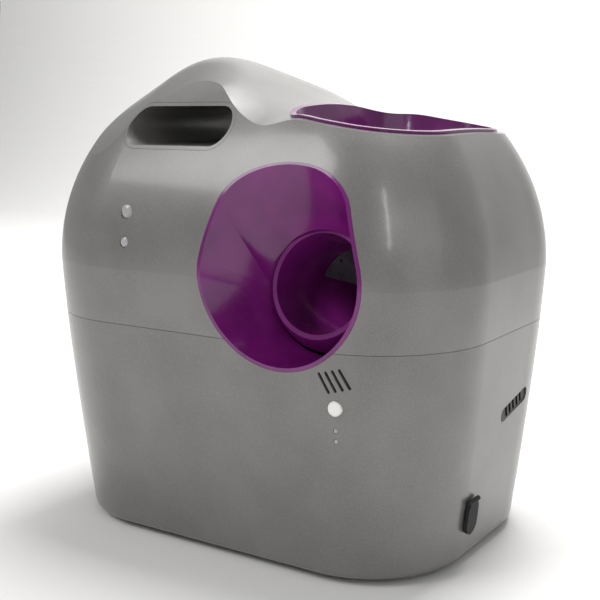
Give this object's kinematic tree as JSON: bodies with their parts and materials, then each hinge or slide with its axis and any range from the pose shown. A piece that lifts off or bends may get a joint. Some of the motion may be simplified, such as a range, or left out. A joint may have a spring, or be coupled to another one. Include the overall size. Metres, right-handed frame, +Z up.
{
  "type": "automatic dog ball launcher",
  "caption": "Free-standing pet ball launcher: rounded case with carrying slot, ball hopper, round launch mouth, tilting spring barrel, gear drive, control dials and battery base.",
  "frame": {"origin": "on the floor, at the middle of the bounding box's underside", "axes": "+Z up, the mouth looks along -Y, +X to the right of someone facing the mouth"},
  "size_m": [0.348, 0.252, 0.35],
  "materials": {
    "case_upper": "pearl grey moulded plastic, semi gloss",
    "case_lower": "pearl grey moulded plastic, semi gloss",
    "purple": "glossy moulded plastic",
    "lime": "glossy moulded plastic",
    "dark_trim": "fine texture",
    "grey_plastic": "moulded, matt",
    "white_plastic": "smooth",
    "acetal": "moulded gear plastic",
    "rubber": "matt",
    "pad_foam": "closed foam",
    "steel": "bright",
    "spring_steel": "drawn wire",
    "zinc": "zinc plated sheet",
    "brass": "turned",
    "motor_can": "zinc plated",
    "cell_wrap": "printed film left plain",
    "circuit_board": "solder mask",
    "clear_lens": "clear moulded acrylic"
  },
  "bodies": {
    "case": {"upper_shell": "case_upper", "lower_shell": "case_lower", "mouth_bowl": "purple", "handle_lining": "case_upper", "hopper_liner": "purple", "side_vent": "dark_trim", "foot_front_left": "rubber", "foot_front_right": "rubber", "foot_rear_left": "rubber", "foot_rear_right": "rubber", "battery_door": "case_lower", "battery_tray": "grey_plastic", "battery_cells": "cell_wrap", "battery_contacts": "spring_steel", "base_screws": "steel", "deck": "zinc", "trunnion_bracket_left": "zinc", "trunnion_bracket_right": "zinc", "aim_bracket": "zinc", "angle_dial_bezel": "dark_trim", "distance_dial_bezel": "dark_trim", "distance_potentiometer": "grey_plastic", "button_switch": "dark_trim", "status_lamps": "clear_lens", "control_board": "circuit_board", "speaker": "dark_trim", "sensor_lenses": "clear_lens", "sensor_board": "circuit_board", "dc_jack": "dark_trim", "main_board": "circuit_board", "ball_lever_pin": "steel", "ball_switch": "dark_trim"},
    "launch_unit": {"barrel": "purple", "pivot_ball": "purple", "breech_cap": "dark_trim", "launch_spring": "spring_steel", "inner_gear_plate": "zinc", "outer_gear_plate": "zinc", "gear_plate_pillars": "brass", "gear_plate_screws": "steel", "drive_motor": "motor_can", "aim_sector": "acetal"},
    "angle_knob": {"angle_dial": "lime", "aim_shaft": "steel", "aim_pinion": "acetal"},
    "distance_knob": {"distance_dial": "lime", "distance_shaft": "steel"},
    "plunger": {"plunger": "acetal", "plunger_pad": "pad_foam"},
    "final_drive": {"drive_sector": "acetal", "final_gear": "acetal", "final_shaft": "steel"},
    "idler": {"idler_gear": "acetal", "idler_shaft": "steel"},
    "motor_rotor": {"motor_pinion": "brass", "motor_shaft": "steel"},
    "button": {"power_button": "white_plastic"},
    "lever": {"ball_lever": "white_plastic"},
    "flap": {"jack_flap": "rubber"}
  },
  "joints": [
    {"name": "barrel_tilt", "type": "hinge", "parent": "case", "child": "launch_unit", "pos_m": [0.073, -0.062, 0.19], "axis": [-1, 0, 0], "range_deg": [0, 30]},
    {"name": "angle_dial_turn", "type": "hinge", "parent": "case", "child": "angle_knob", "pos_m": [-0.1, -0.017, 0.19], "axis": [-1, 0, 0], "range_deg": [-150, 0]},
    {"name": "distance_dial_turn", "type": "hinge", "parent": "case", "child": "distance_knob", "pos_m": [0.073, 0.126, 0.16], "axis": [0, 1, 0], "range_deg": [0, 240]},
    {"name": "final_turn", "type": "hinge", "parent": "launch_unit", "child": "final_drive", "pos_m": [0.03, 0.02895, 0.18944], "axis": [1, 0, 0], "range_deg": [0, 82.86]},
    {"name": "plunger_slide", "type": "slide", "parent": "launch_unit", "child": "plunger", "axis": [0, 0.9659, -0.2588], "range_m": [0, 0.026], "stiffness_N_per_m": 300, "springref_m": -0.005, "deforming": ["launch_spring"]},
    {"name": "idler_turn", "type": "hinge", "parent": "launch_unit", "child": "idler", "pos_m": [0.015, 0.0571, 0.20569], "axis": [1, 0, 0], "range_deg": [-276.87, 0]},
    {"name": "motor_turn", "type": "hinge", "parent": "launch_unit", "child": "motor_rotor", "pos_m": [0.005, 0.07853, 0.19281], "axis": [1, 0, 0], "range_deg": [0, 1105.47]},
    {"name": "button_press", "type": "slide", "parent": "case", "child": "button", "axis": [0, 1, 0], "range_m": [0, 0.0015], "stiffness_N_per_m": 800, "springref_m": -0.0005},
    {"name": "ball_lever_turn", "type": "hinge", "parent": "case", "child": "lever", "pos_m": [0.1165, 0.01, 0.235], "axis": [0, -1, 0], "range_deg": [0, 60], "stiffness_Nm_per_rad": 0.004, "springref_deg": -17.19},
    {"name": "flap_lift", "type": "hinge", "parent": "case", "child": "flap", "pos_m": [0.1632, -0.035, 0.04828], "axis": [0, -1, 0], "range_deg": [0, 100]}
  ],
  "couplings": [
    {"joint": "angle_dial_turn", "follows": "barrel_tilt", "ratio": -5},
    {"joint": "final_turn", "follows": "plunger_slide", "rad_per_m": 55.556},
    {"joint": "idler_turn", "follows": "plunger_slide", "rad_per_m": -185.19},
    {"joint": "motor_turn", "follows": "plunger_slide", "rad_per_m": 740.74}
  ]
}
